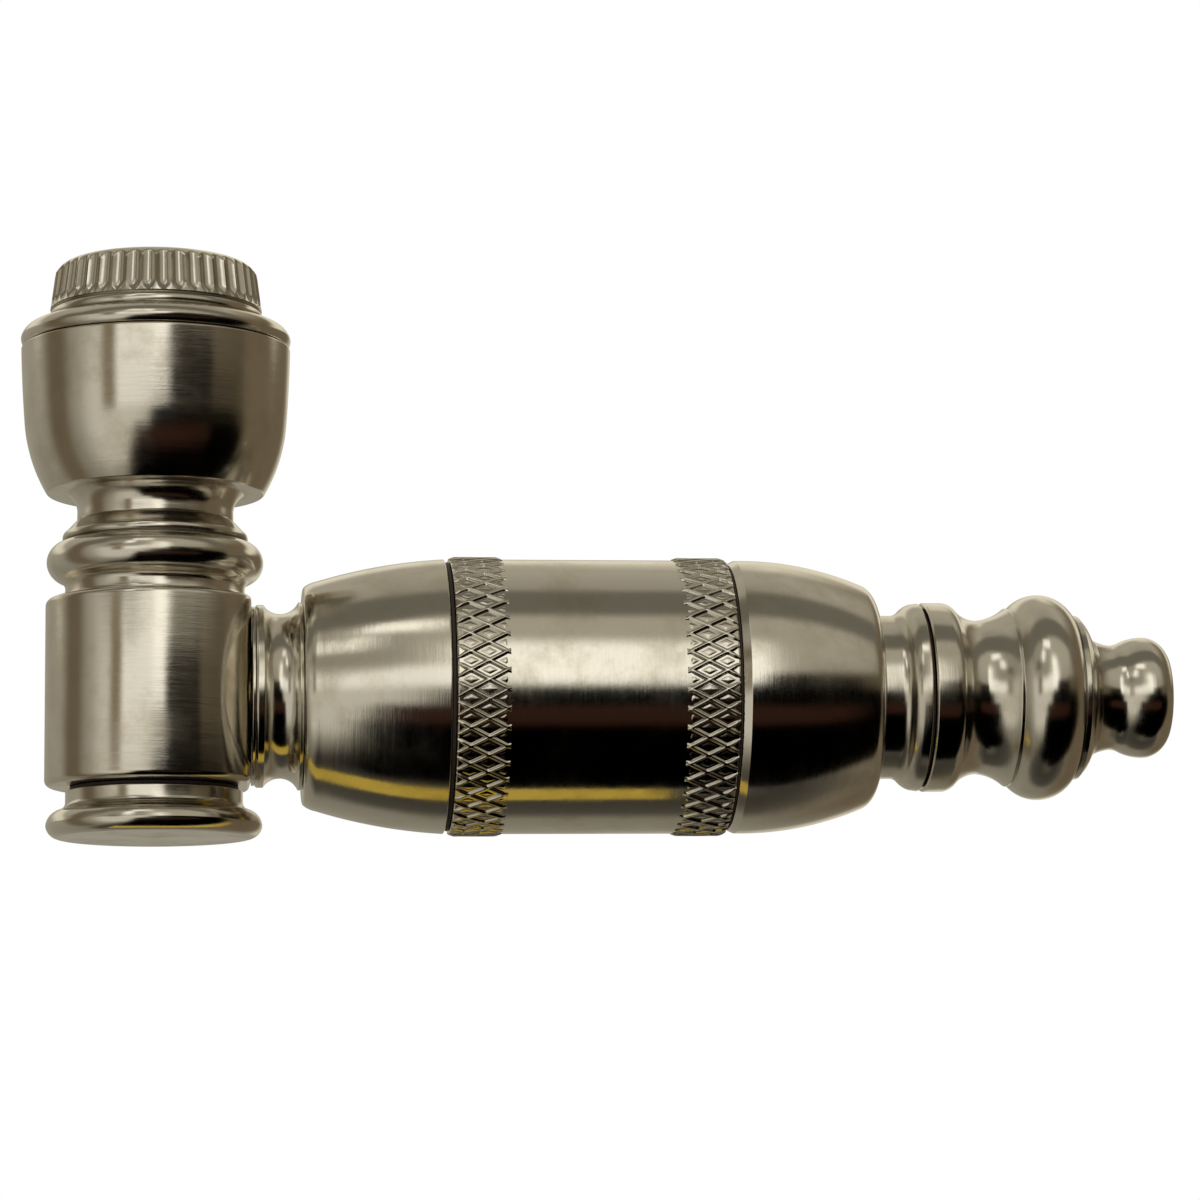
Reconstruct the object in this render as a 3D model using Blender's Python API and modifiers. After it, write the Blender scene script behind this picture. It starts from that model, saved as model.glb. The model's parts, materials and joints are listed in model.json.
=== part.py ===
"""A small metal smoking pipe that screws together from turned pieces.

The bowl, its lid, the collar, the elbow and the foot stand on one upright axis. The chamber and the
mouthpiece lie on a second axis, which leaves the elbow through its milled flat. Every joint between two
pieces is a right-hand screw of 1 mm pitch, drawn here as plain cylinders at the threads' outer diameter.
Lengths are in millimetres: heights run up from the foot's face, stations run along X from the bowl's axis.
"""

import math
from collections import namedtuple

import bpy

# Driving dimensions
MM = 0.001
CHAMBER_HEIGHT = 9.95
GAP = 0.05
SLIP = 0.1
WELD = 0.00001
SHARP_ANGLE = math.radians(28)

LARGE_STEPS = 28
SMALL_STEPS = 20

THREAD_RADIUS = 3.5
HOLE_RADIUS = THREAD_RADIUS + SLIP
SMOKE_RADIUS = 1.9
WASHER_RADIUS = 6.27

FOOT_TOP = 3.22
FOOT_STUD_TOP = 6.25
FOOT_NECK_RADIUS = 6.15
FOOT_RIM_RADIUS = 7.5
FOOT_FACE_RADIUS = 6.7

ELBOW_BOTTOM = 3.56
ELBOW_TOP = 16.66
ELBOW_RADIUS = 7.6
ELBOW_FLAT = 6.66
ELBOW_ROUND = 0.5
SOCKET_BOTTOM = 6.4
SOCKET_SIDE = 3.0
SOCKET_TOP = 13.6
PASSAGE_RADIUS = 2.2

COLLAR_TOP = 22.15
BEAD_HEIGHT = 19.3
BEAD_RADIUS = 7.55

BOWL_BOTTOM = 22.2
BOWL_EDGE = 24.2
BOWL_EDGE_RADIUS = 7.6
BOWL_SHOULDER = 29.0
BOWL_SHOULDER_RADIUS = 9.15
BOWL_TOP = 34.6
BOWL_RADIUS = 9.44
CAVITY_RADIUS = 6.2
CAVITY_FLOOR = 26.65
MOUTH_RADIUS = 7.1
MOUTH_BOTTOM = 31.7
SCREEN_THICKNESS = 0.25

LID_FLANGE = 34.7
LID_TOP = 40.65
LID_RIM_RADIUS = 9.47
LID_PLUG_BOTTOM = 31.9
LID_SEAL_OUTER = 8.7

NECK_START = 6.97
CAP_LEFT_FACE = 10.27
CAP_LEFT_SHOULDER = 20.15
BARREL_START = 20.5
BARREL_END = 39.97
CAP_RIGHT_SHOULDER = 40.2
CAP_RIGHT_FACE = 50.7
OUTLET_END = 53.98
MOUTHPIECE_START = 54.2
MOUTHPIECE_END = 71.85

CHAMBER_RADIUS = 9.66
CHAMBER_BORE = 6.5
CAP_WALL = 2.6
SPIGOT_RADIUS = 8.15
SPIGOT_LENGTH = 4.5
BARREL_BORE = SPIGOT_RADIUS + 1.5 * SLIP
BARREL_WAIST_BORE = 7.8
BAND_RADIUS = 9.84
BAND_WIDTH = 3.7
NECK_WAIST_RADIUS = 5.8
MOUTH_HOLE_RADIUS = 1.5

Arc = namedtuple("Arc", "bulge pieces")
Corner = namedtuple("Corner", "face_radius radius inset bulge")

CORNER_LEFT = Corner(7.55, 8.05, 0.95, 0.12)
DOME_LEFT = 0.27
CORNER_RIGHT = Corner(6.7, 7.92, 0.84, 0.2)
DOME_RIGHT = 0.49


def clear_scene():
    for old in list(bpy.data.objects):
        bpy.data.objects.remove(old, do_unlink=True)


def new_collection(name):
    group = bpy.data.collections.new(name)
    bpy.context.scene.collection.children.link(group)
    return group


def metal(name, color, roughness):
    material = bpy.data.materials.new(name)
    material.use_nodes = True
    shader = material.node_tree.nodes["Principled BSDF"]
    shader.inputs["Base Color"].default_value = (*color, 1)
    shader.inputs["Metallic"].default_value = 1
    shader.inputs["Roughness"].default_value = roughness
    return material


def rubber(name, color, roughness):
    material = metal(name, color, roughness)
    material.node_tree.nodes["Principled BSDF"].inputs["Metallic"].default_value = 0
    return material


def arc_points(start, end, arc):
    """Points between start and end on an arc that stands arc.bulge off the chord, on the open side."""
    run = end[0] - start[0]
    rise = end[1] - start[1]
    half_chord = math.hypot(run, rise) / 2
    half_angle = 2 * math.atan2(arc.bulge, half_chord)
    points = []
    for index in range(1, arc.pieces):
        angle = half_angle * (2 * index / arc.pieces - 1)
        along = (1 + math.sin(angle) / math.sin(half_angle)) / 2
        off = (math.cos(angle) - math.cos(half_angle)) / (2 * math.sin(half_angle))
        points.append((start[0] + run * along - rise * off, start[1] + rise * along + run * off))
    return points


def trace(*stops):
    """An outline of (radius, place) points. An Arc between two points rounds the way between them."""
    outline = []
    arc = None
    for stop in stops:
        if isinstance(stop, Arc):
            arc = stop
            continue
        if arc:
            outline += arc_points(outline[-1], stop, arc)
            arc = None
        outline.append(stop)
    return outline


def turned(name, outline, axis, material, steps=LARGE_STEPS):
    """Turn an outline about an axis. It runs down the outer side and back up the bore, if there is one."""
    closed = outline[0][0] > 0
    vertices = [(radius * MM, 0, place * MM) for radius, place in outline]
    count = len(vertices)
    edges = [(index, (index + 1) % count) for index in range(count if closed else count - 1)]
    profile = bpy.data.meshes.new(name)
    profile.from_pydata(vertices, edges, [])
    obj = bpy.data.objects.new(name, profile)
    parts.objects.link(obj)
    screw = obj.modifiers.new("turn", "SCREW")
    screw.axis = "Z"
    screw.angle = 2 * math.pi
    screw.steps = steps
    screw.render_steps = steps
    screw.use_merge_vertices = True
    screw.merge_threshold = WELD
    graph = bpy.context.evaluated_depsgraph_get()
    solid = bpy.data.meshes.new_from_object(obj.evaluated_get(graph))
    obj.modifiers.clear()
    obj.data = solid
    bpy.data.meshes.remove(profile)
    solid.name = name
    solid.shade_smooth()
    solid.set_sharp_from_angle(angle=SHARP_ANGLE)
    solid.materials.clear()
    solid.materials.append(material)
    obj.parent = axis
    return obj


def ring(name, bottom, top, outer, inner, axis, material, steps=SMALL_STEPS):
    """A plain washer, disc seal or tube between two places on an axis."""
    outline = trace((inner, top), (outer, top), (outer, bottom), (inner, bottom))
    return turned(name, outline, axis, material, steps)


def axis_empty(name, location, rotation):
    empty = bpy.data.objects.new(name, None)
    empty.location = location
    empty.rotation_euler = rotation
    empty.empty_display_size = 0.01
    parts.objects.link(empty)
    return empty


def cylinder_cutter(name, radius, start, end):
    """A cutter along X at the chamber's height, between two stations."""
    bpy.ops.mesh.primitive_cylinder_add(
        vertices=LARGE_STEPS, radius=radius * MM, depth=(end - start) * MM,
        location=((start + end) / 2 * MM, 0, CHAMBER_HEIGHT * MM), rotation=(0, math.pi / 2, 0))
    return as_cutter(bpy.context.object, name)


def as_cutter(obj, name):
    obj.name = name
    obj.hide_render = True
    obj.display_type = "WIRE"
    for group in list(obj.users_collection):
        group.objects.unlink(obj)
    cutters.objects.link(obj)
    return obj


def cut(obj, cutter):
    boolean = obj.modifiers.new(cutter.name, "BOOLEAN")
    boolean.operation = "DIFFERENCE"
    boolean.solver = "EXACT"
    boolean.object = cutter


def elbow():
    """The body under the bowl: sockets above and below, a milled flat and a third socket on its side."""
    edge = ELBOW_RADIUS - ELBOW_ROUND
    corner = ELBOW_ROUND * (math.sqrt(0.5) - 0.5)
    outline = trace(
        (HOLE_RADIUS, ELBOW_TOP), (edge, ELBOW_TOP),
        Arc(corner, 3), (ELBOW_RADIUS, ELBOW_TOP - ELBOW_ROUND),
        (ELBOW_RADIUS, ELBOW_BOTTOM + ELBOW_ROUND),
        Arc(corner, 3), (edge, ELBOW_BOTTOM),
        (HOLE_RADIUS, ELBOW_BOTTOM), (HOLE_RADIUS, SOCKET_BOTTOM),
        (PASSAGE_RADIUS, SOCKET_BOTTOM), (PASSAGE_RADIUS, SOCKET_TOP), (HOLE_RADIUS, SOCKET_TOP))
    body = turned("elbow", outline, stack, nickel)
    past = 2.0
    bpy.ops.mesh.primitive_cube_add(
        size=1, location=((ELBOW_FLAT + past) * MM, 0, (ELBOW_BOTTOM + ELBOW_TOP) / 2 * MM))
    block = as_cutter(bpy.context.object, "flat_cutter")
    block.scale = (2 * past * MM, 3 * ELBOW_RADIUS * MM, 2 * ELBOW_TOP * MM)
    cut(body, block)
    cut(body, cylinder_cutter("side_socket_cutter", HOLE_RADIUS, SOCKET_SIDE, ELBOW_FLAT + past))
    cut(body, cylinder_cutter("side_passage_cutter", SMOKE_RADIUS, 0, SOCKET_SIDE + past))


def foot():
    """The plug that the pipe stands on, with its stud in the elbow."""
    outline = trace(
        (0, FOOT_STUD_TOP), (THREAD_RADIUS - 0.3, FOOT_STUD_TOP), (THREAD_RADIUS, FOOT_STUD_TOP - 0.3),
        (THREAD_RADIUS, FOOT_TOP), (FOOT_NECK_RADIUS, FOOT_TOP), (FOOT_NECK_RADIUS, 2.4),
        Arc(-0.08, 3), (6.5, 1.95), (6.72, 1.88),
        Arc(0.12, 3), (FOOT_RIM_RADIUS, 0.9),
        Arc(0.22, 3), (FOOT_FACE_RADIUS, 0), (0, 0))
    turned("foot", outline, stack, nickel)
    ring("foot_seal", FOOT_TOP + GAP, ELBOW_BOTTOM - GAP, FOOT_NECK_RADIUS - 0.3,
         THREAD_RADIUS + 4 * SLIP, stack, black_rubber)


def collar():
    """The spacer under the bowl: a neck, a bead, a groove and a small ring."""
    bottom = ELBOW_TOP + GAP
    outline = trace(
        (HOLE_RADIUS, COLLAR_TOP), (5.55, COLLAR_TOP), (6.25, 21.4),
        Arc(0.08, 2), (6.45, 20.9), (6.36, 20.72),
        (6.55, 20.6), (BEAD_RADIUS - 0.86, BEAD_HEIGHT + 1.3),
        Arc(0.86, 6), (BEAD_RADIUS - 0.86, BEAD_HEIGHT - 1.3),
        Arc(-0.1, 2), (6.25, 17.5), (6.25, bottom + 0.4), (6.4, bottom), (HOLE_RADIUS, bottom))
    turned("collar", outline, stack, nickel)


def bowl():
    """The cup: a neck, a sharp lower edge, swelling sides, and a mouth that takes the lid's thread."""
    nipple_top = BOWL_BOTTOM + 2.8
    outline = trace(
        (MOUTH_RADIUS, BOWL_TOP), (BOWL_RADIUS, BOWL_TOP),
        Arc(0.04, 2), (BOWL_SHOULDER_RADIUS, BOWL_SHOULDER), Arc(0.27, 5), (BOWL_EDGE_RADIUS, BOWL_EDGE),
        (6.2, BOWL_EDGE),
        Arc(-0.25, 3), (5.45, BOWL_EDGE - 1.5), (5.45, BOWL_BOTTOM),
        (HOLE_RADIUS, BOWL_BOTTOM), (HOLE_RADIUS, nipple_top), (SMOKE_RADIUS, nipple_top),
        (SMOKE_RADIUS, nipple_top + 0.5), (CAVITY_RADIUS - 1, CAVITY_FLOOR), (CAVITY_RADIUS, CAVITY_FLOOR),
        (CAVITY_RADIUS, MOUTH_BOTTOM), (MOUTH_RADIUS, MOUTH_BOTTOM))
    turned("bowl", outline, stack, nickel)
    nipple("bowl_nipple", SOCKET_TOP + 4 * GAP, nipple_top - 4 * GAP, stack)
    screen_bottom = CAVITY_FLOOR + GAP
    disc = trace(
        (0, screen_bottom + SCREEN_THICKNESS), (CAVITY_RADIUS - SLIP, screen_bottom + SCREEN_THICKNESS),
        (CAVITY_RADIUS - SLIP, screen_bottom), (0, screen_bottom))
    turned("bowl_screen", disc, stack, brass)


def lid():
    """The knob: a threaded plug, a flange over a hidden seal, a bead and a coin-edge band."""
    recess = LID_FLANGE + 0.3
    plug_radius = MOUTH_RADIUS - SLIP
    outline = trace(
        (0, LID_TOP), (6.45, LID_TOP),
        Arc(0.15, 3), (7.18, LID_TOP - 0.75), Arc(0.05, 2), (7.46, 37.35), (7.2, 37.2),
        (7.35, 37.1), Arc(0.12, 2), (7.35, 36.4), (7.15, 36.3), (7.6, 36.2),
        (8.1, 36.2), Arc(0.27, 4), (LID_RIM_RADIUS, 35.2),
        (LID_RIM_RADIUS, LID_FLANGE + 0.15), (LID_RIM_RADIUS - 0.15, LID_FLANGE),
        (LID_SEAL_OUTER + SLIP, LID_FLANGE), (LID_SEAL_OUTER + SLIP, recess), (plug_radius, recess),
        (plug_radius, LID_PLUG_BOTTOM + 0.3), (plug_radius - 0.3, LID_PLUG_BOTTOM), (0, LID_PLUG_BOTTOM))
    turned("lid", outline, stack, nickel)
    ring("lid_seal", BOWL_TOP + GAP, recess - GAP, LID_SEAL_OUTER, MOUTH_RADIUS + 2 * SLIP, stack,
         black_rubber)


def nipple(name, start, end, axis):
    """A hollow threaded rod."""
    chamfer = 0.3
    outline = trace(
        (SMOKE_RADIUS, end), (THREAD_RADIUS - chamfer, end), (THREAD_RADIUS, end - chamfer),
        (THREAD_RADIUS, start + chamfer), (THREAD_RADIUS - chamfer, start), (SMOKE_RADIUS, start))
    turned(name, outline, axis, brass, SMALL_STEPS)


def inlet_neck():
    """The flanged, waisted neck between the elbow's flat and the chamber."""
    end = CAP_LEFT_FACE - GAP
    ring("inlet_washer", ELBOW_FLAT + GAP, NECK_START - GAP, WASHER_RADIUS, THREAD_RADIUS + 4 * SLIP,
         chamber, nickel)
    outline = trace(
        (HOLE_RADIUS, end), (6.6, end), (6.6, end - 0.3),
        Arc(-0.72, 6), (6.4, NECK_START + 0.55), (6.4, NECK_START + 0.15), (6.25, NECK_START),
        (HOLE_RADIUS, NECK_START))
    turned("inlet_neck", outline, chamber, nickel)
    nipple("inlet_nipple", SOCKET_SIDE + 4 * GAP, CAP_LEFT_FACE + CAP_WALL + 4 * GAP, chamber)


def cap(name, face, shoulder, corner, dome):
    """A domed end of the chamber: its outline is given from the flat face, whichever way it points."""
    way = 1 if shoulder > face else -1
    spigot_end = shoulder + way * SPIGOT_LENGTH
    inner = face + way * CAP_WALL
    outline = trace(
        (HOLE_RADIUS, face), (corner.face_radius, face),
        Arc(-corner.bulge * way, 3), (corner.radius, face + corner.inset * way),
        Arc(-dome * way, 6), (CHAMBER_RADIUS, shoulder), (SPIGOT_RADIUS, shoulder),
        (SPIGOT_RADIUS, spigot_end - way * 0.3), (SPIGOT_RADIUS - 0.3, spigot_end),
        (CHAMBER_BORE, spigot_end), (CHAMBER_BORE, inner + way), (CHAMBER_BORE - 1, inner),
        (HOLE_RADIUS, inner))
    if way > 0:
        outline.reverse()
    turned(name, outline, chamber, nickel)


def barrel():
    """The chamber's tube: a band at each end carries the knurl, and both ends are threaded inside."""
    step = BAND_RADIUS - CHAMBER_RADIUS
    left_inner = BARREL_START + SPIGOT_LENGTH
    right_inner = BARREL_END - SPIGOT_LENGTH
    outline = trace(
        (BARREL_BORE, BARREL_END), (CHAMBER_RADIUS, BARREL_END), (BAND_RADIUS, BARREL_END - step),
        (BAND_RADIUS, BARREL_END - BAND_WIDTH), (CHAMBER_RADIUS, BARREL_END - BAND_WIDTH - step),
        (CHAMBER_RADIUS, BARREL_START + BAND_WIDTH + step), (BAND_RADIUS, BARREL_START + BAND_WIDTH),
        (BAND_RADIUS, BARREL_START + step), (CHAMBER_RADIUS, BARREL_START), (BARREL_BORE, BARREL_START),
        (BARREL_BORE, left_inner), (BARREL_WAIST_BORE, left_inner),
        (BARREL_WAIST_BORE, right_inner), (BARREL_BORE, right_inner))
    turned("barrel", outline, chamber, nickel)
    seal_outer = CHAMBER_RADIUS - 0.2
    ring("seal_left", CAP_LEFT_SHOULDER + GAP, BARREL_START - GAP, seal_outer, SPIGOT_RADIUS + 2 * SLIP,
         chamber, black_rubber, LARGE_STEPS)
    ring("seal_right", BARREL_END + GAP, CAP_RIGHT_SHOULDER - GAP, seal_outer, SPIGOT_RADIUS + 2 * SLIP,
         chamber, black_rubber, LARGE_STEPS)


def outlet_neck():
    """The neck between the chamber and the mouthpiece, waisted beside the cap and flanged at its end."""
    start = CAP_RIGHT_FACE + GAP
    outline = trace(
        (HOLE_RADIUS, OUTLET_END), (6.55, OUTLET_END), (6.68, OUTLET_END - 0.12), (6.6, OUTLET_END - 0.6),
        Arc(0.06, 2), (6.15, OUTLET_END - 1.3), Arc(-0.1, 3), (NECK_WAIST_RADIUS, start + 1.15),
        (NECK_WAIST_RADIUS, start), (HOLE_RADIUS, start))
    turned("outlet_neck", outline, chamber, nickel)
    nipple("outlet_nipple", CAP_RIGHT_FACE - CAP_WALL - 4 * GAP, MOUTHPIECE_START + 3.7, chamber)


def mouthpiece():
    """Rim ring, cove, flare, bead, step ring, slim neck and a lip round the draw hole."""
    socket_end = MOUTHPIECE_START + 4.1
    outline = trace(
        (MOUTH_HOLE_RADIUS, MOUTHPIECE_END), (3.35, MOUTHPIECE_END),
        Arc(0.2, 3), (4.3, 70.5), Arc(0.12, 3), (3.95, 68.7),
        Arc(-0.05, 2), (3.73, 67.9), Arc(-0.06, 2), (4.1, 66.6), Arc(-0.05, 2), (4.95, 66.05),
        (5.6, 65.6), (5.85, 65.4), (5.85, 65.05), (5.75, 64.9), (6.2, 64.8),
        Arc(0.96, 7), (6.5, 60.7), (6.3, 60.5), (6.36, 60.3),
        Arc(-0.2, 4), (5.47, 58.1), Arc(-0.2, 3), (6.35, 56.4), Arc(0.06, 2), (6.72, 55.7),
        (6.72, MOUTHPIECE_START + 0.15), (6.57, MOUTHPIECE_START), (HOLE_RADIUS, MOUTHPIECE_START),
        (HOLE_RADIUS, socket_end), (MOUTH_HOLE_RADIUS, socket_end + 1.2))
    turned("mouthpiece", outline, chamber, nickel)
    ring("mouthpiece_seal", OUTLET_END + GAP, MOUTHPIECE_START - GAP, 6.35, THREAD_RADIUS + 4 * SLIP,
         chamber, black_rubber)


clear_scene()
parts = new_collection("metal_pipe")
cutters = new_collection("metal_pipe_cutters")
nickel = metal("nickel_plate", (0.62, 0.58, 0.50), 0.24)
brass = metal("bare_brass", (0.72, 0.52, 0.24), 0.3)
black_rubber = rubber("black_rubber", (0.03, 0.022, 0.02), 0.6)
stack = axis_empty("stack_axis", (0, 0, 0), (0, 0, 0))
chamber = axis_empty("chamber_axis", (0, 0, CHAMBER_HEIGHT * MM), (0, math.pi / 2, 0))

elbow()
foot()
collar()
bowl()
lid()
inlet_neck()
cap("chamber_cap_left", CAP_LEFT_FACE, CAP_LEFT_SHOULDER, CORNER_LEFT, DOME_LEFT)
barrel()
cap("chamber_cap_right", CAP_RIGHT_FACE, CAP_RIGHT_SHOULDER, CORNER_RIGHT, DOME_RIGHT)
outlet_neck()
mouthpiece()
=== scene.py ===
"""The looks of a small nickel-plated metal pipe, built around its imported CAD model.

Each visible CAD node is replaced by a finely turned mesh of the same size, with real threads, knurl
and flutes. The bowl, lid and foot turn about the upright stack axis, the chamber's pieces about the
X axis. Outlines are in millimetres: a radius, and a place along the axis.
"""

import json
import math
from collections import namedtuple

import bmesh
import bpy
import numpy as np
from mathutils import Matrix, Vector


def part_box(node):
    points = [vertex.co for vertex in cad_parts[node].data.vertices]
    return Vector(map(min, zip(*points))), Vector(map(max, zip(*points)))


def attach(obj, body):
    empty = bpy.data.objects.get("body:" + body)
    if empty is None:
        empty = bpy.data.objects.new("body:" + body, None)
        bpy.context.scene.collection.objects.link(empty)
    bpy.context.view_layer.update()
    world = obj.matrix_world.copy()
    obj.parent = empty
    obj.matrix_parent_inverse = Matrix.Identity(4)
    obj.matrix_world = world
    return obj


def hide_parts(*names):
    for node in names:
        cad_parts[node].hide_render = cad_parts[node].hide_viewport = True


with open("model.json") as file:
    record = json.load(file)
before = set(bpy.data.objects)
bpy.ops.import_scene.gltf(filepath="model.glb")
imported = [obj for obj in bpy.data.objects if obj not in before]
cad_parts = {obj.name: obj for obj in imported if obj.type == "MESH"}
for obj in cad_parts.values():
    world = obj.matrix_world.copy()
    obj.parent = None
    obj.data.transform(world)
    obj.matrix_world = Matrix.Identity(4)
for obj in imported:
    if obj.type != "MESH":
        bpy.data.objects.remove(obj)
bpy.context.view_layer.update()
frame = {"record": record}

MM = 0.001
TURN = 2 * math.pi

# How finely the pieces are turned, and how their edges are eased
SEGMENTS = 144
BORE_SEGMENTS = 96
WIDE_SEGMENTS = 180
BARREL_SEGMENTS = 192
SHARP = math.radians(40)
CORNER = math.radians(12)
EDGE = 0.07
EDGE_SHARE = 0.35
GUARD = 0.05

# Screw threads
PITCH = 1.0
THREAD_DEPTH = 0.5
THREAD_CLEAR = 0.08
THREAD_STEP = 0.07
THREAD_FADE = 0.6
FLANK = 1.3
CREST = 0.15
LEAD = 0.15
LEAD_DROP = 0.2

# The barrel's knurled bands
RIDGES = 46
RIDGE_SAMPLES = 24
DIAMOND_LENGTH = 2.52
BAND_WIDTH = 3.65
BAND_EDGE = 0.35
BAND_SLOPE = 0.35
KNURL_PROFILE = ((0, 0.05, 0.17, 0.36, 0.5), (0, 0.01, 0.21, 0.15, 0.14))

# The lid's flutes
FLUTES = 44
FLUTE_SAMPLES = 12
FLUTE_DEPTH = 0.27
FLUTE_RUNOUT = 0.8
FLUTE_STEP = 0.07
LID_SIDE = 7.44
LID_TAPER = 0.13

# The plating's marks, the reach of the painted shade in its crevices, and the studio cards' corners
MARK_STRETCH = 14
CREVICE_SHADE_REACH = 0.55
ROUNDNESS = 0.8
ROUNDEST = 16

# Radii that several pieces share
CHAMBER_SIDE = 9.66
CHAMBER_THREAD = 8.15
LID_THREAD = 7.0
THREAD = 3.5
HOLE = 3.6
SEAL_HOLE = 3.9
SMOKE = 1.9

BODIES = frame["record"]["behaviour"]["bodies"]
BODY_OF = {node: body for body, nodes in BODIES.items() for node in nodes}

Arc = namedtuple("Arc", "bulge pieces relief", defaults=(None,))
Run = namedtuple("Run", "step relief")
Row = namedtuple("Row", "radius place corner relief along length")
Axis = namedtuple("Axis", "index centre")
Card = namedtuple("Card", "around across half_width half_height softness color")


# Where things are in the frame

def span(node):
    """A node's first and last place along its axis."""
    low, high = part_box(node)
    index = AXIS_OF[node].index
    return low[index] / MM, high[index] / MM


def axis_of_nodes():
    """The stack's axis runs up through the foot, the chamber's along X through the barrel."""
    low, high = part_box("barrel")
    chamber = Axis(0, (low[2] + high[2]) / 2 / MM)
    stack = Axis(2, 0.0)
    upright = ("elbow", "foot", "foot_seal", "collar", "bowl", "bowl_nipple", "bowl_screen",
               "lid", "lid_seal")
    return stack, chamber, {node: stack if node in upright else chamber for node in BODY_OF}


STACK, CHAMBER, AXIS_OF = axis_of_nodes()


# Outlines

def arc_rows(start, end, arc):
    """Rows between two stops on an arc that stands arc.bulge off the chord, on the open side."""
    run = end[0] - start[0]
    rise = end[1] - start[1]
    half_chord = math.hypot(run, rise) / 2
    half_angle = 2 * math.atan2(arc.bulge, half_chord)
    rows = []
    for index in range(1, arc.pieces):
        angle = half_angle * (2 * index / arc.pieces - 1)
        along = (1 + math.sin(angle) / math.sin(half_angle)) / 2
        off = (math.cos(angle) - math.cos(half_angle)) / (2 * math.sin(half_angle))
        radius = start[0] + run * along - rise * off
        place = start[1] + rise * along + run * off
        rows.append(Row(radius, place, False, arc.relief, 0, 0))
    return rows


def run_rows(start, end, run):
    """Closely spaced rows along a straight stretch that carries a relief, with both its ends."""
    length = math.dist(start, end)
    count = max(2, round(length / run.step))
    rows = []
    for index in range(count + 1):
        share = index / count
        radius = start[0] + (end[0] - start[0]) * share
        place = start[1] + (end[1] - start[1]) * share
        rows.append(Row(radius, place, False, run.relief, share * length, length))
    return rows


def trace(*stops):
    """Rows of an outline. Between two stops, an Arc bends the way and a Run gives it a relief."""
    rows = []
    way = None
    for stop in stops:
        if isinstance(stop, (Arc, Run)):
            way = stop
            continue
        if isinstance(way, Arc):
            rows += arc_rows(rows[-1][:2], stop, way)
        if isinstance(way, Run):
            rows += run_rows(rows.pop()[:2], stop, way)
        else:
            rows.append(Row(*stop, True, None, 0, 0))
        way = None
    return rows


def bezier(start, middle, end, share):
    return start * (1 - share) ** 2 + middle * 2 * share * (1 - share) + end * share ** 2


def eased(rows, closed):
    """Break each sharp corner with a small round. Guard rows beside it keep the faces flat."""
    out = []
    count = len(rows)
    for index, row in enumerate(rows):
        end_row = not closed and index in (0, count - 1)
        here = Vector((row.radius, row.place))
        before = rows[index - 1]
        after = rows[(index + 1) % count]
        into = here - Vector((before.radius, before.place))
        onward = Vector((after.radius, after.place)) - here
        turn = 0 if end_row or not row.corner else into.angle(onward)
        if turn < CORNER:
            out.append(row)
            continue
        longest = EDGE_SHARE * min(into.length, onward.length)
        reach = min(EDGE * math.tan(turn / 2), longest)
        start = here - into.normalized() * reach
        end = here + onward.normalized() * reach
        points = [bezier(start, here, end, share) for share in (0, 0.25, 0.5, 0.75, 1)]
        if into.length > 4 * reach + GUARD:
            points.insert(0, start - into.normalized() * GUARD)
        if onward.length > 4 * reach + GUARD:
            points.append(end + onward.normalized() * GUARD)
        out += [Row(point.x, point.y, False, None, 0, 0) for point in points]
    return out


# Reliefs: each gives the radius of a row's points all the way round

def thread_groove(place, angle):
    """How deep the right-hand screw groove is, from 0 on the crest to 1 at the root."""
    phase = (place / PITCH - angle / TURN) % 1.0
    return np.clip(FLANK * np.abs(2 * phase - 1) - CREST, 0, 1)


def thread_share(along, length):
    """0 at both ends of a threaded stretch, 1 from a short way in."""
    return np.clip(np.minimum(along, length - along) / THREAD_FADE, 0, 1)


def male(radius, place, angle, along, length):
    groove = np.maximum(thread_groove(place, angle), 1 - thread_share(along, length))
    return radius - THREAD_DEPTH * groove


def female(radius, place, angle, along, length):
    groove = np.minimum(thread_groove(place, angle), thread_share(along, length))
    return radius + THREAD_CLEAR - THREAD_DEPTH * groove


def knurled(radius, place, angle, along, length):
    """Two crossing families of raised ridges with a shallow dimpled floor between them."""
    nearest = np.full((1, 1), 0.5)
    for lean in (1, -1):
        phase = (RIDGES * angle / TURN + lean * place / DIAMOND_LENGTH) % 1.0
        nearest = np.minimum(nearest, np.minimum(phase, 1 - phase))
    depth = np.interp(nearest, *KNURL_PROFILE)
    margin = np.minimum(along, length - along)
    return radius - depth - BAND_SLOPE * np.clip(BAND_EDGE - margin, 0, 1)


def fluted(radius, place, angle, along, length):
    """Coin-edge flutes. They run out in scallops at the band's foot and into the shoulder above."""
    low = LID_BAND_LOW
    across = 2 * ((FLUTES * angle / TURN) % 1.0) - 1
    runout = FLUTE_DEPTH * np.clip(1 - (place - low) / FLUTE_RUNOUT, 0, 1) ** 2
    depth = np.maximum(FLUTE_DEPTH * (1 - across ** 2) - runout, 0)
    side = LID_SIDE - LID_TAPER * (place - low)
    return np.minimum(radius, side - depth)


# Meshes

def points_about(axis, radii, places, angles):
    """Places in metres. The angle is right-handed about the axis: from X to Y, or from Y to Z."""
    across = radii * np.cos(angles)
    upward = radii * np.sin(angles)
    places = np.broadcast_to(places, radii.shape)
    if axis.index == 2:
        columns = (across, upward, places)
    else:
        columns = (places, across, upward + axis.centre)
    return np.stack(columns, axis=-1).reshape(-1, 3) * MM


def grid_faces(rows, segments, closed):
    row = np.arange(rows if closed else rows - 1)[:, None]
    column = np.arange(segments)[None, :]
    below = (row + 1) % rows
    beside = (column + 1) % segments
    corners = (row * segments + column, below * segments + column,
               below * segments + beside, row * segments + beside)
    return np.stack(corners, axis=-1).reshape(-1, 4)


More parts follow.
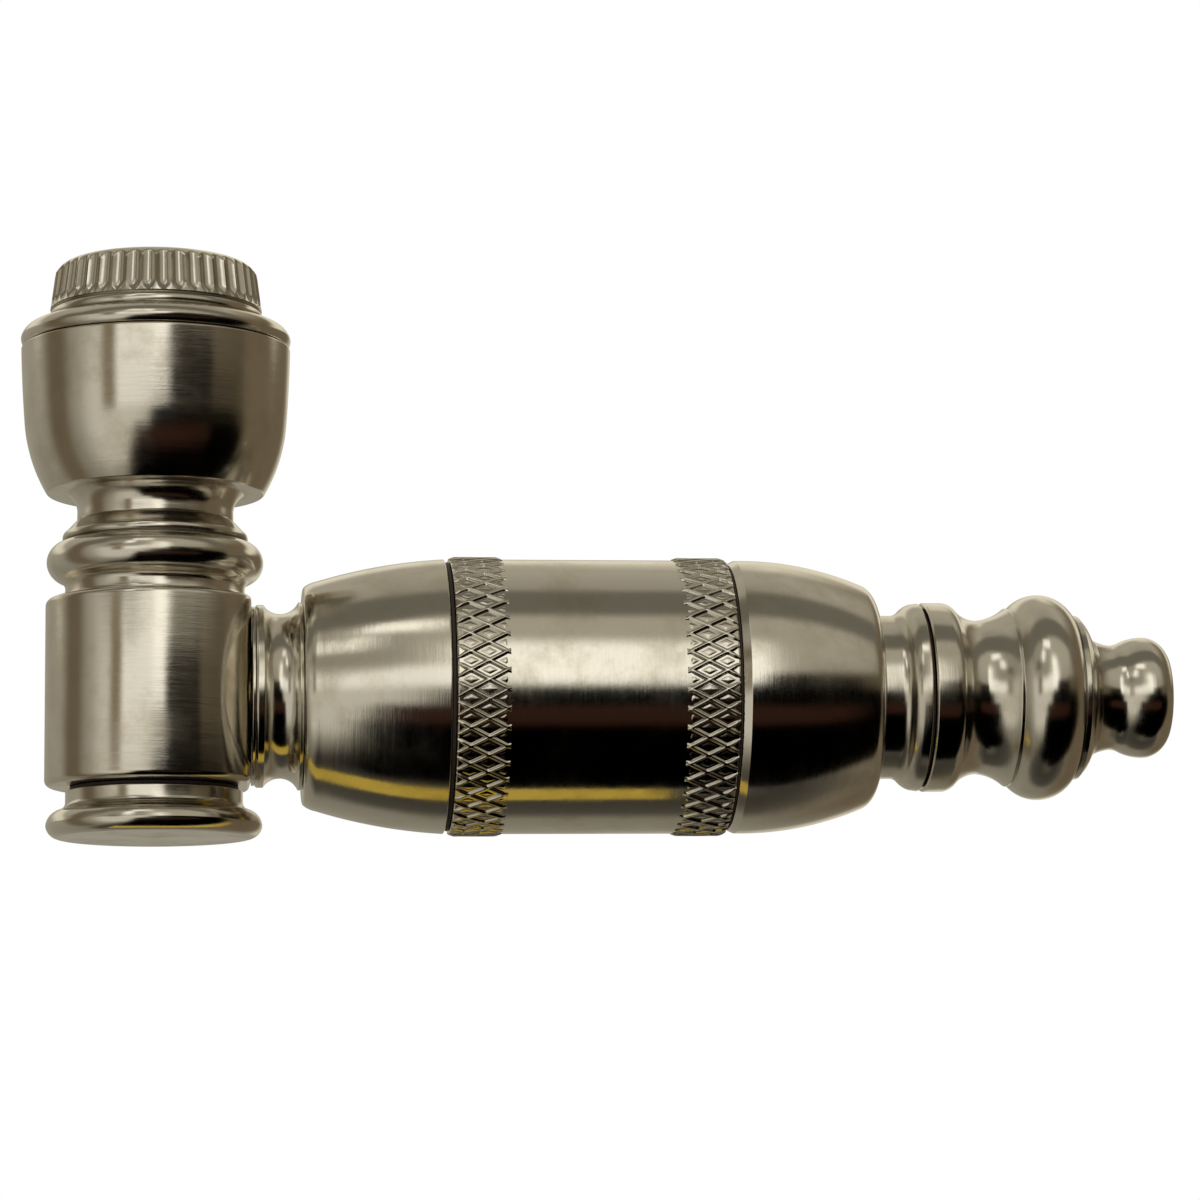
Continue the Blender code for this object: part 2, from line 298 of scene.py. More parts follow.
def lathe_mesh(name, stops, axis, segments=SEGMENTS, shape=None):
    """A closed turned solid. Its outline runs down the outer side and back up the bore, if any."""
    rows = trace(*stops)
    closed = rows[0].radius > 0
    rows = eased(rows, closed)
    angles = np.arange(segments)[None, :] * TURN / segments
    rings = []
    for row in rows:
        ring = np.full((1, segments), float(row.radius))
        if row.relief:
            relief = row.relief(ring, row.place, angles, row.along, row.length)
            ring = np.broadcast_to(relief, (1, segments))
        rings.append(ring)
    radii = np.concatenate(rings)
    places = np.array([[row.place] for row in rows])
    if shape:
        radii = shape(radii, angles)
    vertices = points_about(axis, radii, places, angles)
    faces = grid_faces(len(rows), segments, closed)
    mesh = bpy.data.meshes.new(name)
    mesh.from_pydata(vertices.tolist(), [], faces.tolist())
    if not closed:
        weld_poles(mesh, segments)
    mesh.shade_smooth()
    mesh.set_sharp_from_angle(angle=SHARP)
    return mesh


def weld_poles(mesh, segments):
    """Join the first and last ring, which lie on the axis, to one point each."""
    bm = bmesh.new()
    bm.from_mesh(mesh)
    bm.verts.ensure_lookup_table()
    poles = bm.verts[:segments] + bm.verts[-segments:]
    bmesh.ops.remove_doubles(bm, verts=poles, dist=1e-6)
    bm.to_mesh(mesh)
    bm.free()


def add(name, mesh, node, material):
    """Put a mesh in the scene in place of a CAD node, on that node's body."""
    piece = bpy.data.objects.new(name, mesh)
    bpy.context.scene.collection.objects.link(piece)
    mesh.materials.clear()
    mesh.materials.append(material)
    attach(piece, BODY_OF[node])
    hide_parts(node)
    return piece


def turned(node, stops, material, segments=SEGMENTS):
    name = node + "_turned"
    add(name, lathe_mesh(name, stops, AXIS_OF[node], segments), node, material)


# Materials

def shader_tree(name):
    material = bpy.data.materials.new(name)
    material.use_nodes = True
    tree = material.node_tree
    return material, tree, tree.nodes["Principled BSDF"]


def new_node(tree, kind, inputs=(), **settings):
    """Add a shader node. inputs holds (socket, value or output) pairs."""
    made = tree.nodes.new(kind)
    for key, value in settings.items():
        setattr(made, key, value)
    for socket, value in inputs:
        if isinstance(value, bpy.types.NodeSocket):
            tree.links.new(value, made.inputs[socket])
        else:
            made.inputs[socket].default_value = value
    return made


def math_node(tree, operation, first, second=0.0, clamp=False):
    pairs = ((0, first), (1, second))
    return new_node(tree, "ShaderNodeMath", pairs, operation=operation, use_clamp=clamp).outputs[0]


def remap(tree, value, low, high, to_low, to_high):
    pairs = ((0, value), (1, low), (2, high), (3, to_low), (4, to_high))
    return new_node(tree, "ShaderNodeMapRange", pairs).outputs[0]


def rgb(red, green, blue):
    return (red, green, blue, 1.0)


def warm(grey):
    return rgb(grey, 0.93 * grey, 0.75 * grey)


def brown(grey):
    return rgb(grey, 0.80 * grey, 0.52 * grey)


def mix_color(tree, share, first, second):
    made = new_node(tree, "ShaderNodeMix", data_type="RGBA")
    for socket, value in ((0, share), (6, first), (7, second)):
        if isinstance(value, bpy.types.NodeSocket):
            tree.links.new(value, made.inputs[socket])
        else:
            made.inputs[socket].default_value = value
    return made.outputs[2]


def noise(tree, vector, scale, detail, roughness=0.55):
    pairs = (("Vector", vector), ("Scale", scale), ("Detail", detail), ("Roughness", roughness))
    return new_node(tree, "ShaderNodeTexNoise", pairs).outputs["Fac"]


def lathe_coordinates(tree, axis):
    """Coordinates for tool marks: long round the piece, and very short along its outline."""
    coordinates = new_node(tree, "ShaderNodeTexCoord").outputs["Object"]
    middle = (0, 0, 0) if axis.index == 2 else (0, 0, axis.centre * MM)
    pairs = ((0, coordinates), (1, middle))
    centred = new_node(tree, "ShaderNodeVectorMath", pairs, operation="SUBTRACT").outputs[0]
    parts = new_node(tree, "ShaderNodeSeparateXYZ", ((0, centred),)).outputs
    across = [parts[index] for index in range(3) if index != axis.index]
    squares = [math_node(tree, "MULTIPLY", part, part) for part in across]
    radius = math_node(tree, "SQRT", math_node(tree, "ADD", *squares))
    along = math_node(tree, "ADD", parts[axis.index], radius)
    stretched = math_node(tree, "MULTIPLY", along, MARK_STRETCH)
    pairs = ((0, across[0]), (1, across[1]), (2, stretched))
    marks = new_node(tree, "ShaderNodeCombineXYZ", pairs).outputs[0]
    return centred, marks


def bump(tree, height, distance, normal=None):
    pairs = [("Height", height), ("Strength", 1.0), ("Distance", distance * MM)]
    if normal:
        pairs.append(("Normal", normal))
    return new_node(tree, "ShaderNodeBump", pairs).outputs[0]


def weighted(tree, *terms):
    """The sum of (weight, output) terms."""
    total = 0.0
    for weight, output in terms:
        total = math_node(tree, "ADD", math_node(tree, "MULTIPLY", output, weight), total)
    return total


def nickel(name, axis, waviness):
    """Worn bright nickel plate: tool marks, hazy patches, dull crevices darkened with painted
    shade, and waviness in mm.
    """
    material, tree, shader = shader_tree(name)
    vector, marks_vector = lathe_coordinates(tree, axis)
    marks = noise(tree, marks_vector, 700, 3.0, 0.65)
    bands = noise(tree, marks_vector, 150, 2.0, 0.5)
    haze = noise(tree, vector, 230, 5.0, 0.62)
    waves = noise(tree, vector, 170, 1.0, 0.4)
    grain = noise(tree, vector, 4200, 2.0, 0.7)
    worn = remap(tree, haze, 0.47, 0.70, 0.0, 1.0)
    tint = mix_color(tree, worn, rgb(0.71, 0.675, 0.60), rgb(0.60, 0.55, 0.46))
    # Painted shade: where ambient occlusion finds close surfaces, in crevices and flute valleys,
    # the tint is darkened towards near black-brown; the same mask also raises the roughness there.
    pairs = (("Distance", CREVICE_SHADE_REACH * MM),)
    hollow = new_node(tree, "ShaderNodeAmbientOcclusion", pairs,
                      samples=6, only_local=True).outputs["AO"]
    crevice_shade = remap(tree, hollow, 0.48, 0.96, 1.0, 0.0)
    tint = mix_color(tree, math_node(tree, "MULTIPLY", crevice_shade, 0.8), tint, rgb(0.13, 0.10, 0.07))
    tree.links.new(tint, shader.inputs["Base Color"])
    rough = weighted(tree, (0.12, marks), (0.10, worn), (0.05, grain), (0.20, crevice_shade))
    tree.links.new(math_node(tree, "ADD", rough, 0.055, True), shader.inputs["Roughness"])
    wavy = bump(tree, waves, waviness)
    fine = weighted(tree, (1.0, marks), (1.8, bands), (0.5, grain))
    tree.links.new(bump(tree, fine, 0.0028, wavy), shader.inputs["Normal"])
    tangent = new_node(tree, "ShaderNodeTangent", direction_type="RADIAL", axis="XYZ"[axis.index])
    tree.links.new(tangent.outputs[0], shader.inputs["Tangent"])
    shader.inputs["Metallic"].default_value = 1.0
    shader.inputs["Anisotropic"].default_value = 0.5
    shader.inputs["Anisotropic Rotation"].default_value = 0.25
    return material


def brass(name):
    """Bare machined brass, a little tarnished."""
    material, tree, shader = shader_tree(name)
    vector = new_node(tree, "ShaderNodeTexCoord").outputs["Object"]
    clouds = noise(tree, vector, 700, 4.0, 0.6)
    fine = noise(tree, vector, 6000, 2.0)
    tarnish = remap(tree, clouds, 0.4, 0.65, 0.0, 1.0)
    tint = mix_color(tree, tarnish, rgb(0.78, 0.58, 0.27), rgb(0.50, 0.33, 0.14))
    tree.links.new(tint, shader.inputs["Base Color"])
    tree.links.new(remap(tree, fine, 0.3, 0.7, 0.2, 0.38), shader.inputs["Roughness"])
    tree.links.new(bump(tree, fine, 0.0015), shader.inputs["Normal"])
    shader.inputs["Metallic"].default_value = 1.0
    return material


def dark_rubber(name):
    """Black-brown rubber with a matt moulded skin."""
    material, tree, shader = shader_tree(name)
    vector = new_node(tree, "ShaderNodeTexCoord").outputs["Object"]
    skin = noise(tree, vector, 4200, 4.0, 0.65)
    tint = mix_color(tree, skin, rgb(0.012, 0.009, 0.008), rgb(0.045, 0.026, 0.018))
    tree.links.new(tint, shader.inputs["Base Color"])
    tree.links.new(remap(tree, skin, 0.3, 0.7, 0.5, 0.75), shader.inputs["Roughness"])
    tree.links.new(bump(tree, skin, 0.006), shader.inputs["Normal"])
    return material


# Pieces of the stack

def tube(node, outer, inner, material):
    """A plain washer or ring seal with softly rounded edges."""
    start, end = span(node)
    edge = 0.04
    stops = ((inner, end), (outer - edge, end), Arc(edge * 0.3, 3), (outer, end - edge),
             (outer, start + edge), Arc(edge * 0.3, 3), (outer - edge, start), (inner, start))
    turned(node, stops, material)


def nipple(node, material):
    """A hollow threaded rod, chamfered at both ends."""
    start, end = span(node)
    tip = THREAD - THREAD_DEPTH - LEAD_DROP
    stops = ((SMOKE, end), (tip, end), (THREAD, end - LEAD), Run(THREAD_STEP, male),
             (THREAD, start + LEAD), (tip, start), (SMOKE, start))
    turned(node, stops, material, BORE_SEGMENTS)


def elbow_shape(flat, full):
    """Flatten the +X side of the elbow, with a soft edge where the flat meets the round."""
    soft = 0.0875
    core = HOLE + 0.4

    def shape(radii, angles):
        toward = np.maximum(np.cos(angles), 1e-3)
        pressed = soft * np.logaddexp(0, (full - flat / toward) / soft)
        share = np.clip((radii - core) / (full - core), 0, 1)
        return radii - pressed * share
    return shape


def elbow():
    """The round body: sockets above and below, and one in the milled flat for the chamber."""
    start, end = span("elbow")
    full = 7.6
    rounding = 0.45
    mouth = THREAD + THREAD_CLEAR
    passage = 2.2
    foot_socket = 6.4
    collar_socket = 13.6
    side_socket = 3.0
    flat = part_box("elbow")[1][0] / MM
    stops = ((mouth, end), (full - rounding, end), Arc(0.13, 6), (full, end - rounding),
             (full, start + rounding), Arc(0.13, 6), (full - rounding, start), (mouth, start),
             (THREAD, start + 0.1), Run(THREAD_STEP, female), (THREAD, foot_socket),
             (passage, foot_socket), (passage, collar_socket), (THREAD, collar_socket),
             Run(THREAD_STEP, female), (THREAD, end - 0.1))
    mesh = lathe_mesh("elbow_turned", stops, STACK, SEGMENTS, elbow_shape(flat, full))
    piece = add("elbow_turned", mesh, "elbow", nickel_upright)
    tool = ((0, flat + 1.0), (mouth, flat + 1.0), (mouth, flat - 0.1), (THREAD, flat - 0.1),
            Run(THREAD_STEP, female), (THREAD, side_socket), (SMOKE, side_socket), (SMOKE, 0),
            (0, 0))
    bore(piece, lathe_mesh("side_socket", tool, CHAMBER, BORE_SEGMENTS))


def bore(piece, tool_mesh):
    """Cut a tool's shape out of a piece and keep the result as its mesh."""
    tool = bpy.data.objects.new(tool_mesh.name, tool_mesh)
    bpy.context.scene.collection.objects.link(tool)
    cut = piece.modifiers.new("bore", "BOOLEAN")
    cut.operation = "DIFFERENCE"
    cut.solver = "EXACT"
    cut.object = tool
    graph = bpy.context.evaluated_depsgraph_get()
    mesh = bpy.data.meshes.new_from_object(piece.evaluated_get(graph))
    piece.modifiers.clear()
    piece.data = mesh
    bpy.data.objects.remove(tool, do_unlink=True)
    mesh.shade_smooth()
    mesh.set_sharp_from_angle(angle=SHARP)


def foot():
    start, end = span("foot")
    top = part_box("foot_seal")[0][2] / MM - 0.05
    root = THREAD - THREAD_DEPTH
    neck = 6.15
    stops = ((0, end), (root - LEAD_DROP, end), (THREAD, end - LEAD), Run(THREAD_STEP, male),
             (THREAD, top + 0.1), (root, top + 0.05), (root, top), (neck, top),
             (neck, start + 2.45), Arc(-0.09, 8), (6.5, start + 1.95), (6.7, start + 1.88),
             Arc(0.13, 10), (7.45, start + 1.1), (7.5, start + 0.9),
             Arc(0.22, 10), (6.7, start), (0, start))
    turned("foot", stops, nickel_upright)
    tube("foot_seal", 5.85, SEAL_HOLE, seal_rubber)


def collar():
    start, end = span("collar")
    bead = 19.3
    stops = ((HOLE, end), (5.55, end), (5.6, end - 0.05), (6.2, 21.45), Arc(0.1, 8), (6.45, 20.92),
             (6.4, 20.8), (6.32, 20.72), (6.52, 20.62), (6.69, bead + 1.3), Arc(0.86, 20),
             (6.69, bead - 1.3), Arc(-0.1, 6), (6.25, 17.5), (6.25, start + 0.35), Arc(-0.03, 3),
             (6.4, start), (HOLE, start))
    turned("collar", stops, nickel_upright)


def bowl():
    start, end = span("bowl")
    nipple_top = start + 2.8
    plug_end = span("lid")[0] - 0.2
    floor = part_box("bowl_screen")[0][2] / MM - 0.05
    cavity = 6.2
    stops = ((LID_THREAD + THREAD_CLEAR, end), (9.36, end), (9.44, end - 0.1), Arc(0.04, 12),
             (9.15, 29.0), Arc(0.27, 24), (7.63, 24.28), (7.54, 24.2), (6.2, 24.2), Arc(-0.25, 10),
             (5.45, 22.7), (5.45, start + 0.1), (5.35, start), (THREAD + THREAD_CLEAR, start),
             (THREAD, start + 0.1), Run(THREAD_STEP, female), (THREAD, nipple_top),
             (SMOKE, nipple_top), (SMOKE, nipple_top + 0.5), (5.2, floor), (cavity, floor),
             (cavity, plug_end), (LID_THREAD, plug_end + 0.05), Run(THREAD_STEP, female),
             (LID_THREAD, end - 0.1))
    turned("bowl", stops, nickel_upright, WIDE_SEGMENTS)
    nipple("bowl_nipple", bare_brass)


def lid():
    start, end = span("lid")
    flange = 34.7
    root = LID_THREAD - THREAD_DEPTH
    stops = ((0, end), (5.95, end), Arc(0.34, 18, fluted), (7.25, end - 1.3),
             Run(FLUTE_STEP, fluted), (7.48, LID_BAND_LOW), (7.3, 37.28), (7.36, 37.15),
             Arc(0.14, 10), (7.36, 36.42), (7.15, 36.3), (7.6, 36.22), (8.1, 36.2), Arc(0.26, 16),
             (9.42, 35.45), (9.47, 35.3), Arc(0.05, 6), (9.3, flange + 0.06), (9.22, flange),
             (8.8, flange), (8.8, flange + 0.3), (root, flange + 0.3), (root, flange + 0.1),
             (LID_THREAD, flange), Run(THREAD_STEP, male), (LID_THREAD, start + LEAD),
             (root - LEAD_DROP, start), (0, start))
    turned("lid", stops, nickel_upright, FLUTES * FLUTE_SAMPLES)
    tube("lid_seal", 8.7, 7.3, seal_rubber)


def screen():
    """Plain-woven brass gauze: wires that pass over and under each other, trimmed to a disc."""
    low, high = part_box("bowl_screen")
    middle = (low[2] + high[2]) / 2
    reach = (high[0] - low[0]) / 2 - 0.1 * MM
    wire = 0.065 * MM
    spacing = 0.42 * MM
    lift = (high[2] - low[2]) / 2 - wire
    bm = bmesh.new()
    count = int(reach / spacing)
    for across in (False, True):
        for index in range(-count, count + 1):
            offset = index * spacing
            half = math.sqrt(reach ** 2 - offset ** 2)
            sign = -1 if (index % 2 == 0) == across else 1
            weave_wire(bm, offset, half, middle, sign * lift, spacing, wire, across)
    mesh = bpy.data.meshes.new("bowl_screen_woven")
    bm.to_mesh(mesh)
    bm.free()
    mesh.shade_smooth()
    add("bowl_screen_woven", mesh, "bowl_screen", bare_brass)


def weave_wire(bm, offset, half, middle, lift, spacing, wire, across):
    """One wavy wire of the gauze, as a closed tube of six sides."""
    sides = 6
    steps = max(4, round(2 * half / (spacing / 3)))
    rings_made = []
    for step in range(steps + 1):
        along = -half + 2 * half * step / steps
        height = middle + lift * math.cos(math.pi * along / spacing)
        ring = []
        for side in range(sides):
            angle = TURN * side / sides
            sideways = offset + wire * math.cos(angle)
            place = (sideways, along) if across else (along, sideways)
            ring.append(bm.verts.new((*place, height + wire * math.sin(angle))))
        rings_made.append(ring)
    for first, second in zip(rings_made, rings_made[1:]):
        for side in range(sides):
            beside = (side + 1) % sides
            face = (first[side], second[side], second[beside], first[beside])
            bm.faces.new(face if across else face[::-1])
    bm.faces.new(rings_made[0] if across else rings_made[0][::-1])
    bm.faces.new(rings_made[-1][::-1] if across else rings_made[-1])


# Pieces of the chamber

def inlet():
    tube("inlet_washer", 6.27, SEAL_HOLE, nickel_lying)
    start, end = span("inlet_neck")
    stops = ((HOLE, end), (6.55, end), (6.6, end - 0.25), Arc(-0.74, 24), (6.4, start + 0.55),
             (6.4, start + 0.12), (6.3, start), (HOLE, start))
    turned("inlet_neck", stops, nickel_lying)
    nipple("inlet_nipple", bare_brass)


def cap_stops(face, shoulder, spigot_end, corner, dome, bevel):
    """A cap's outline, whichever way it points. The corner's places are from its flat face."""
    way = 1 if shoulder > face else -1
    inner = face + way * 2.6
    root = CHAMBER_THREAD - THREAD_DEPTH
    corner = [stop if isinstance(stop, Arc) else (stop[0], face + way * stop[1]) for stop in corner]
    stops = [(HOLE, face), *corner, dome, (CHAMBER_SIDE - 0.01, shoulder - way * bevel),
             (CHAMBER_SIDE - 0.04 - 0.4 * bevel, shoulder), (root, shoulder),
             (CHAMBER_THREAD, shoulder + way * 0.1), Run(THREAD_STEP, male),
             (CHAMBER_THREAD, spigot_end - way * LEAD), (root - LEAD_DROP, spigot_end),
             (6.5, spigot_end), (6.5, inner + way), (5.5, inner), (HOLE, inner)]
    return stops[::-1] if way > 0 else stops


def caps():
    start, end = span("chamber_cap_left")
    shoulder = span("seal_left")[0] - 0.05
    corner = ((7.45, 0), Arc(0.02, 3), (7.65, 0.08), Arc(0.06, 6), (8.05, 0.95))
    stops = cap_stops(start, shoulder, end, corner, Arc(0.27, 30), 0.06)
    turned("chamber_cap_left", stops, nickel_lying, WIDE_SEGMENTS)
    start, end = span("chamber_cap_right")
    shoulder = span("seal_right")[1] + 0.05
    corner = ((6.2, 0), Arc(0.02, 4), (6.95, 0.1), Arc(0.13, 14), (7.92, 0.84))
    stops = cap_stops(end, shoulder, start, corner, Arc(0.49, 30), 0.55)
    turned("chamber_cap_right", stops, nickel_lying, WIDE_SEGMENTS)
    tube("seal_left", CHAMBER_SIDE - 0.22, 8.35, seal_rubber)
    tube("seal_right", CHAMBER_SIDE - 0.22, 8.35, seal_rubber)


def barrel():
    """The tube between the caps, threaded inside, with a raised knurled band at each end."""
    start, end = span("barrel")
    side = CHAMBER_SIDE
    thread = CHAMBER_THREAD
    mouth = thread + THREAD_CLEAR
    chamber = 7.8
    depth = 4.5
    step = 0.1
    stops = ((mouth, end), (side - 0.1, end), (side, end - 0.1), (side, start + 0.1),
             (side - 0.1, start), (mouth, start), (thread, start + 0.1), Run(step, female),
             (thread, start + depth), (chamber, start + depth), (chamber, end - depth),
             (thread, end - depth), Run(step, female), (thread, end - 0.1))
    turned("barrel", stops, nickel_tube, BARREL_SEGMENTS)
    knurl_band("knurl_left", start + 0.03)
    knurl_band("knurl_right", end - 0.03 - BAND_WIDTH)


def knurl_band(name, low):
    """A raised band round the barrel, wholly covered in crossing ridges."""
    core = 9.52
    outer = 9.84
    high = low + BAND_WIDTH
    step = DIAMOND_LENGTH / RIDGE_SAMPLES
    stops = ((core, high), (outer, high), Run(step, knurled), (outer, low), (core, low))
    add(name, lathe_mesh(name, stops, CHAMBER, RIDGES * RIDGE_SAMPLES), "barrel", nickel_tube)


def outlet():
    start, end = span("outlet_neck")
    stops = ((HOLE, end), (6.58, end), (6.68, end - 0.1), (6.6, end - 0.6), Arc(0.06, 8),
             (6.15, end - 1.3), Arc(-0.1, 10), (5.8, start + 1.15), (5.8, start), (HOLE, start))
    turned("outlet_neck", stops, nickel_lying)
    nipple("outlet_nipple", bare_brass)
    tube("mouthpiece_seal", 6.35, SEAL_HOLE, seal_rubber)


def mouthpiece():
    start, end = span("mouthpiece")
    socket_end = start + 4.1
    draw = 1.5
    stops = ((draw + 0.15, end), (3.3, end), Arc(0.2, 10), (4.3, 70.5), Arc(0.12, 10), (3.95, 68.7),
             Arc(-0.05, 8), (3.73, 67.9), Arc(-0.06, 8), (4.1, 66.6), Arc(-0.05, 6), (4.95, 66.05),
             Arc(0.03, 4), (5.6, 65.62), (5.85, 65.4), (5.85, 65.05), (5.78, 64.95), (6.2, 64.8),
             Arc(0.96, 28), (6.5, 60.7), (6.32, 60.52), (6.36, 60.3), Arc(-0.2, 14), (5.47, 58.1),
             Arc(-0.2, 12), (6.35, 56.4), Arc(0.07, 8), (6.72, 55.7), (6.72, start + 0.12),
             (6.6, start), (THREAD + THREAD_CLEAR, start), (THREAD, start + 0.1),
             Run(THREAD_STEP, female), (THREAD, socket_end), (draw, socket_end + 1.2),
             (draw, end - 0.15))
    turned("mouthpiece", stops, nickel_lying)


# The stage, the light and the camera

def floor():
    """A pale floor under the pipe. Only its upper side shows, and the metal doesn't mirror it."""
    bpy.ops.mesh.primitive_plane_add(size=3.0, location=(0, 0, -0.02 * MM))
    plane = bpy.context.object
    plane.name = "floor"
    material, tree, shader = shader_tree("pale_floor")
    shader.inputs["Base Color"].default_value = rgb(0.86, 0.86, 0.855)
    shader.inputs["Roughness"].default_value = 0.7
    back = new_node(tree, "ShaderNodeNewGeometry").outputs["Backfacing"]
    clear = new_node(tree, "ShaderNodeBsdfTransparent").outputs[0]
    mixed = new_node(tree, "ShaderNodeMixShader", ((0, back), (1, shader.outputs[0]), (2, clear)))
    output = tree.nodes["Material Output"]
    tree.links.new(mixed.outputs[0], output.inputs["Surface"])
    plane.data.materials.append(material)
    plane.visible_glossy = False


def card(tree, around, across, behind, sheet):
    """Lay a card with round corners and soft edges over what is behind it, seen from the pipe."""
    corner = min(ROUNDEST, ROUNDNESS * min(sheet.half_width, sheet.half_height))
    squares = []
    for angle, centre, half in ((around, sheet.around, sheet.half_width),
                                (across, sheet.across, sheet.half_height)):
        offset = math_node(tree, "ABSOLUTE", math_node(tree, "SUBTRACT", angle, centre))
        beyond = math_node(tree, "MAXIMUM", math_node(tree, "SUBTRACT", offset, half - corner), 0.0)
        squares.append(math_node(tree, "MULTIPLY", beyond, beyond))
    reach = math_node(tree, "SQRT", math_node(tree, "ADD", *squares))
    low = corner - sheet.softness / 2
    pairs = ((0, reach), (1, low), (2, low + sheet.softness), (3, 1.0), (4, 0.0))
    share = new_node(tree, "ShaderNodeMapRange", pairs, interpolation_type="SMOOTHSTEP").outputs[0]
    return mix_color(tree, share, behind, sheet.color)


def room_walls(tree, latitude):
    """The plain room behind the cards: dark below, and grey from eye level up."""
    share = remap(tree, latitude, -90.0, 90.0, 0.0, 1.0)
    ramp = new_node(tree, "ShaderNodeValToRGB", ((0, share),))
    elements = ramp.color_ramp.elements
    elements[0].color = warm(0.12)
    elements[1].color = warm(0.34)
    for degrees, grey in WALLS:
        elements.new((degrees + 90) / 180).color = warm(grey)
    return ramp.outputs[0]


def studio_world():
    """A soft room of light and dark cards for the metal to mirror. Seen directly, it is white."""
    world = bpy.data.worlds.new("studio")
    bpy.context.scene.world = world
    world.use_nodes = True
    tree = world.node_tree
    direction = new_node(tree, "ShaderNodeTexCoord").outputs["Generated"]
    x, y, z = new_node(tree, "ShaderNodeSeparateXYZ", ((0, direction),)).outputs
    turned_away = math_node(tree, "ARCTAN2", x, math_node(tree, "MULTIPLY", y, -1.0))
    longitude = math_node(tree, "MULTIPLY", turned_away, math.degrees(1))
    latitude = math_node(tree, "MULTIPLY", math_node(tree, "ARCSINE", z), math.degrees(1))
    rolled = math_node(tree, "ARCTAN2", z, math_node(tree, "MULTIPLY", y, -1.0))
    roll = math_node(tree, "MULTIPLY", rolled, math.degrees(1))
    side = math_node(tree, "MULTIPLY", math_node(tree, "ARCSINE", x), math.degrees(1))
    color = room_walls(tree, latitude)
    for sheet in CARDS:
        color = card(tree, longitude, latitude, color, sheet)
    for strip in STRIPS:
        color = card(tree, roll, side, color, strip)
    light_path = new_node(tree, "ShaderNodeLightPath").outputs
    color = mix_color(tree, light_path["Is Diffuse Ray"], color, rgb(0.95, 0.95, 0.94))
    color = mix_color(tree, light_path["Is Camera Ray"], color, rgb(1, 1, 1))
    tree.links.new(color, tree.nodes["Background"].inputs["Color"])


def gold_card():
    """A gold strip in front and below, wider to the left, that only the metal's reflections see."""
    low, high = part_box("barrel")
    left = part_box("elbow")[0][0]
    right = high[0] - 3 * MM
    near = low[1] + 3.5 * MM
    width = 3.6 * MM
    depth = -12 * MM
    mesh = bpy.data.meshes.new("gold_card")
    far = near + width
    far_left = far + width / 2
    corners = ((left, near, depth), (right, near, depth),
               (right, far, depth), (left, far_left, depth))
    mesh.from_pydata(corners, [], [(0, 1, 2, 3)])
    strip = bpy.data.objects.new("gold_card", mesh)
    bpy.context.scene.collection.objects.link(strip)
    material, tree, shader = shader_tree("gold_card")
    shader.inputs["Base Color"].default_value = rgb(0, 0, 0)
    shader.inputs["Emission Color"].default_value = rgb(0.52, 0.37, 0.06)
    shader.inputs["Emission Strength"].default_value = 1.0
    mesh.materials.append(material)
    for sight in ("camera", "diffuse", "shadow", "transmission"):
        setattr(strip, "visible_" + sight, False)


def camera():
    """Aimed a little up from below at the pipe's middle, from its left, through a long lens."""
    azimuth, elevation, roll = (math.radians(angle) for angle in (-6.3, -8.4, -0.68))
    aim = Vector((31.35, 0, 16.87)) * MM
    distance = 285 * MM
    data = bpy.data.cameras.new("camera")
    data.sensor_width = 36
    data.lens = 120.6
    data.clip_start = 0.01
    data.clip_end = 20
    view = bpy.data.objects.new("camera", data)
    bpy.context.scene.collection.objects.link(view)
    turn = Matrix.Rotation(azimuth, 4, "Z") @ Matrix.Rotation(math.pi / 2 - elevation, 4, "X")
    view.matrix_world = (Matrix.Translation(aim) @ turn @ Matrix.Rotation(roll, 4, "Z")
                         @ Matrix.Translation((0, 0, distance)))
    bpy.context.scene.camera = view


LID_BAND_LOW = span("lid")[1] - 3.3

# The room's grey at each latitude, in degrees.
WALLS = ((-76, 0.05), (-58, 0.08), (-48, 0.26), (-20, 0.32), (12, 0.38), (60, 0.46), (80, 0.38))
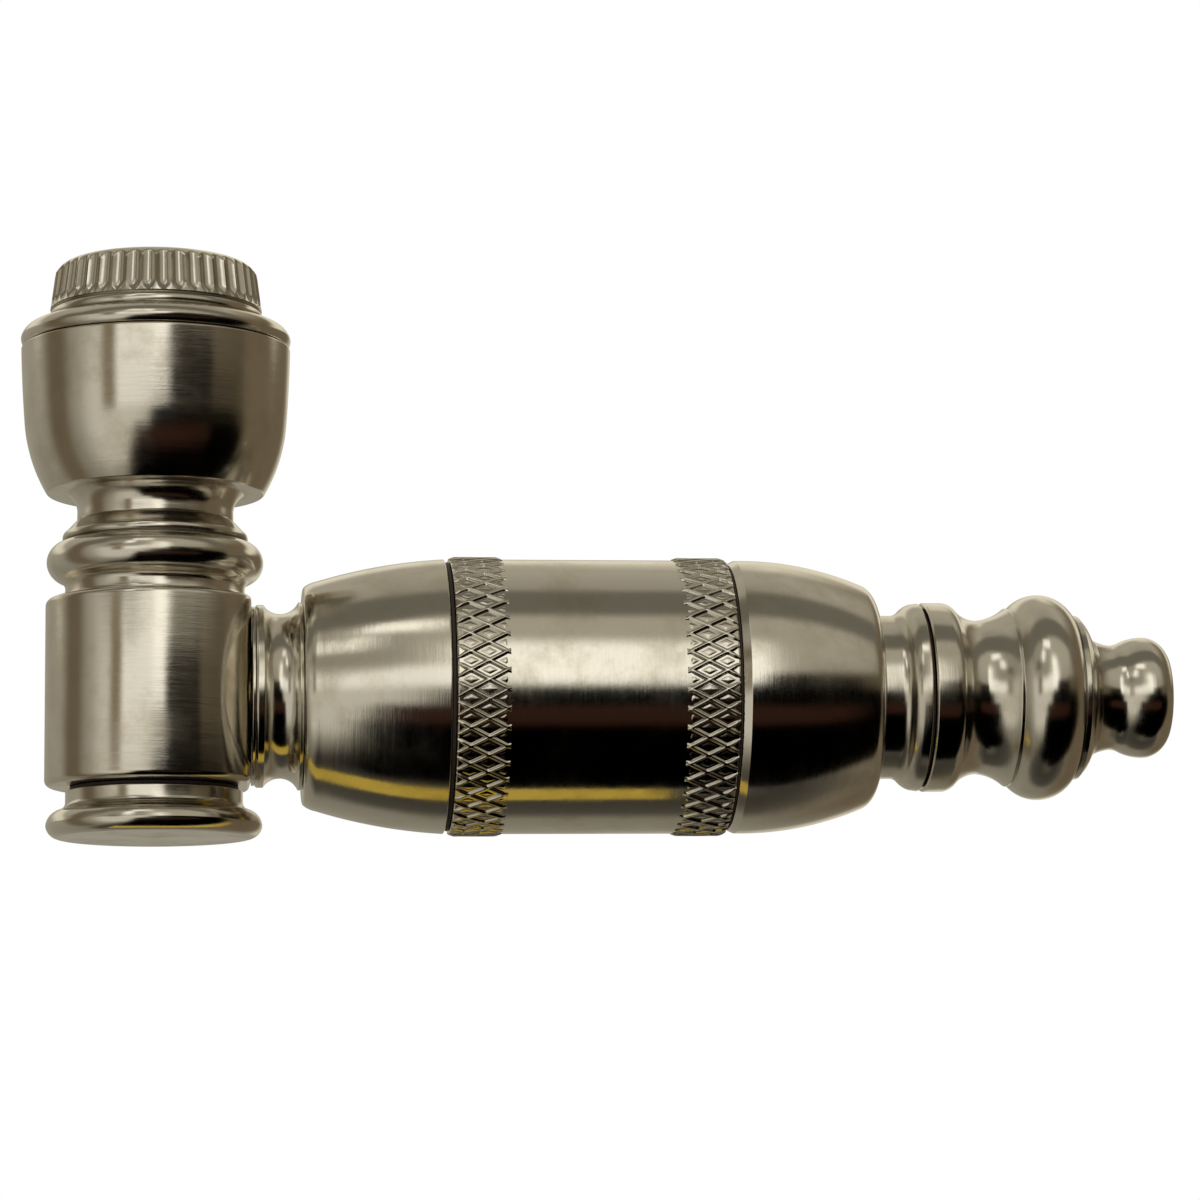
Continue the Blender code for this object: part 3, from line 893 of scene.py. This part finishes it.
# The cards in the room, each laid over the ones before it: its longitude, from the viewer towards
# +X, and its latitude; its half width and half height; its softness, all in degrees; its colour.
CARDS = (
    Card(158, 16, 12, 34, 12, warm(1.0)),
    Card(112, -4, 50, 50, 30, brown(0.17)),
    Card(-95, 0, 14, 50, 18, brown(0.16)),
    Card(-52, 58, 34, 24, 18, brown(0.13)),
    Card(-36, -8, 28, 32, 22, rgb(0.66, 0.63, 0.54)),
    Card(-12, 28, 34, 18, 20, warm(0.56)),
    Card(36, 42, 28, 16, 18, warm(0.46)),
    Card(-13, 10, 26, 9, 11, rgb(1.05, 1.02, 0.92)),
    Card(7, 22, 8, 17, 15, rgb(1.38, 1.34, 1.22)),
    Card(-38, 36, 28, 21, 14, warm(0.34)),
    Card(-18, 55, 15, 5, 7, rgb(1.35, 1.3, 1.16)),
    Card(-31, 40, 6, 7, 7, rgb(1.35, 1.3, 1.16)),
    Card(-46, 27, 7, 5, 7, brown(0.16)),
    Card(62, 6, 20, 9, 9, brown(0.12)),
    Card(30, 4, 19, 9, 8, brown(0.02)),
    Card(40, -46, 46, 49, 10, rgb(0.0, 0.0, 0.0)),
    Card(-41, 8, 6, 10, 8, brown(0.24)),
)
# Strips lie along the pipe, over the cards: the first angle is up from the viewer about the X axis,
# the second sideways towards +X.
STRIPS = (
    Card(-54, -8, 31, 15, 9, rgb(0.0, 0.0, 0.0)),
    Card(-22, 14, 8, 34, 9, rgb(0.030, 0.013, 0.008)),
    Card(79, 0, 14, 62, 9, warm(0.17)),
    Card(150, 0, 9, 60, 12, warm(0.85)),
)
nickel_upright = nickel("nickel_upright", STACK, 0.075)
nickel_lying = nickel("nickel_lying", CHAMBER, 0.085)
nickel_tube = nickel("nickel_tube", CHAMBER, 0.025)
bare_brass = brass("bare_brass")
seal_rubber = dark_rubber("seal_rubber")

camera()
studio_world()
floor()
gold_card()
elbow()
foot()
collar()
bowl()
screen()
lid()
inlet()
caps()
barrel()
outlet()
mouthpiece()
bpy.context.scene.view_settings.view_transform = "Standard"
